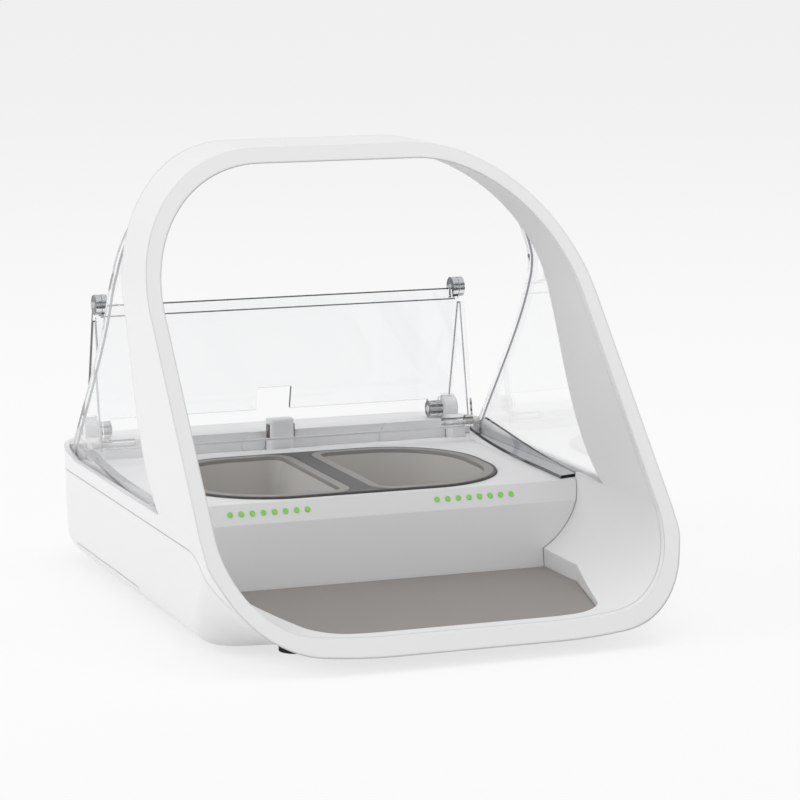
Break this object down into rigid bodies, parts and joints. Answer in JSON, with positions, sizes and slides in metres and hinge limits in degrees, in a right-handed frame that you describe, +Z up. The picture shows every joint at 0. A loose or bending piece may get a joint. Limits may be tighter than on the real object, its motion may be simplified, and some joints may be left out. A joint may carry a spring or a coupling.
{
  "type": "microchip pet feeder",
  "caption": "Raked hoop entrance over a low body with two half bowls, a clear folding lid driven by a gear motor, clear side windows and a lift-out floor mat.",
  "frame": {"origin": "on the ground under the middle of the overall box", "axes": "+Z up, +X to the right of someone who faces the hoop, the hoop faces -Y, +Y to the back wall"},
  "size_m": [0.2246, 0.2963, 0.2095],
  "materials": {
    "white_shell": "moulded ABS, satin white",
    "white_inner": "moulded ABS, fine matt white",
    "clear": "clear acrylic, polished",
    "clear_lid": "clear acrylic, polished",
    "mat_grey": "ribbed soft mat, matt",
    "bowl_grey": "satin warm grey plastic",
    "tray_grey": "dark grey plastic",
    "metal": "plain steel",
    "light_green": "green light pipe",
    "lens_dark": "dark infrared lens",
    "board": "green circuit board",
    "copper": "enamelled copper",
    "gear_white": "acetal",
    "inner_black": "black plastic",
    "cell_skin": "plain sleeved cell",
    "foot_rubber": "black rubber",
    "button_grey": "grey plastic"
  },
  "bodies": {
    "base": {"antenna_loop": "copper", "battery_box_left": "inner_black", "battery_box_right": "inner_black", "battery_cells": "cell_skin", "battery_contacts": "metal", "bowl_deck": "white_inner", "button_board": "board", "button_pillars": "white_inner", "button_switches": "inner_black", "case_screws": "metal", "gear_motor": "inner_black", "idler_axle": "metal", "lid_track_left": "clear", "lid_track_right": "clear", "light_board": "board", "light_pipes": "light_green", "load_cells": "metal", "lower_shell": "white_shell", "main_board": "board", "pivot_housing_left": "white_inner", "pivot_housing_right": "white_inner", "rear_cover": "white_inner", "rubber_feet": "foot_rubber", "sensor_lenses": "lens_dark", "sensor_post": "white_inner", "side_window_left": "clear", "side_window_right": "clear", "tunnel_liner": "white_inner", "upper_body": "white_shell", "wall_caps": "white_inner", "weigh_platforms": "metal"},
    "lid_rear": {"lid_rear_panel": "clear_lid", "lid_fold_pins": "metal", "lid_drive_shaft": "metal", "lid_pivot_pin": "metal", "lid_gear": "gear_white"},
    "lid_front": {"lid_front_panel": "clear_lid", "lid_slide_pins": "gear_white"},
    "idler": {"idler_gear": "gear_white"},
    "pinion": {"motor_pinion": "gear_white", "pinion_shaft": "metal"},
    "tray": {"bowl_tray": "tray_grey"},
    "bowl_l": {"bowl_left": "bowl_grey"},
    "bowl_r": {"bowl_right": "bowl_grey"},
    "mat": {"floor_mat": "mat_grey"},
    "button_a": {"back_button_1": "button_grey"},
    "button_b": {"back_button_2": "button_grey"},
    "button_c": {"back_button_3": "button_grey"},
    "door_l": {"battery_door_left": "white_shell"},
    "door_r": {"battery_door_right": "white_shell"}
  },
  "joints": [
    {"name": "lid_swing", "type": "hinge", "parent": "base", "child": "lid_rear", "pos_m": [0, 0.1285, 0.0625], "axis": [-1, 0, 0], "range_deg": [-80.7, 0]},
    {"name": "lid_fold", "type": "hinge", "parent": "lid_rear", "child": "lid_front", "pos_m": [0, 0.1137, 0.1276], "axis": [-1, 0, 0], "range_deg": [0, 155.6]},
    {"name": "idler_spin", "type": "hinge", "parent": "base", "child": "idler", "pos_m": [0.0949, 0.12642, 0.05068], "axis": [-1, 0, 0], "range_deg": [0, 48.6]},
    {"name": "pinion_spin", "type": "hinge", "parent": "base", "child": "pinion", "pos_m": [0.0949, 0.12117, 0.04159], "axis": [-1, 0, 0], "range_deg": [-121.4, 0]},
    {"name": "tray_lift", "type": "slide", "parent": "base", "child": "tray", "axis": [0, 0, 1], "range_m": [0, 0.04]},
    {"name": "bowl_left_lift", "type": "slide", "parent": "tray", "child": "bowl_l", "axis": [0, 0, 1], "range_m": [0, 0.045]},
    {"name": "bowl_right_lift", "type": "slide", "parent": "tray", "child": "bowl_r", "axis": [0, 0, 1], "range_m": [0, 0.045]},
    {"name": "mat_lift", "type": "slide", "parent": "base", "child": "mat", "axis": [0, 0, 1], "range_m": [0, 0.025]},
    {"name": "button_a_press", "type": "slide", "parent": "base", "child": "button_a", "axis": [0, -1, 0], "range_m": [0, 0.001], "stiffness_N_per_m": 400, "springref_m": -0.0005},
    {"name": "button_b_press", "type": "slide", "parent": "base", "child": "button_b", "axis": [0, -1, 0], "range_m": [0, 0.001], "stiffness_N_per_m": 400, "springref_m": -0.0005},
    {"name": "button_c_press", "type": "slide", "parent": "base", "child": "button_c", "axis": [0, -1, 0], "range_m": [0, 0.001], "stiffness_N_per_m": 400, "springref_m": -0.0005},
    {"name": "battery_door_left_release", "type": "slide", "parent": "base", "child": "door_l", "axis": [0, 0, -1], "range_m": [0, 0.012]},
    {"name": "battery_door_right_release", "type": "slide", "parent": "base", "child": "door_r", "axis": [0, 0, -1], "range_m": [0, 0.012]}
  ],
  "couplings": [
    {"joint": "lid_fold", "follows": "lid_swing", "ratio": -1.9271},
    {"joint": "idler_spin", "follows": "lid_swing", "ratio": -0.6},
    {"joint": "pinion_spin", "follows": "lid_swing", "ratio": 1.5}
  ]
}
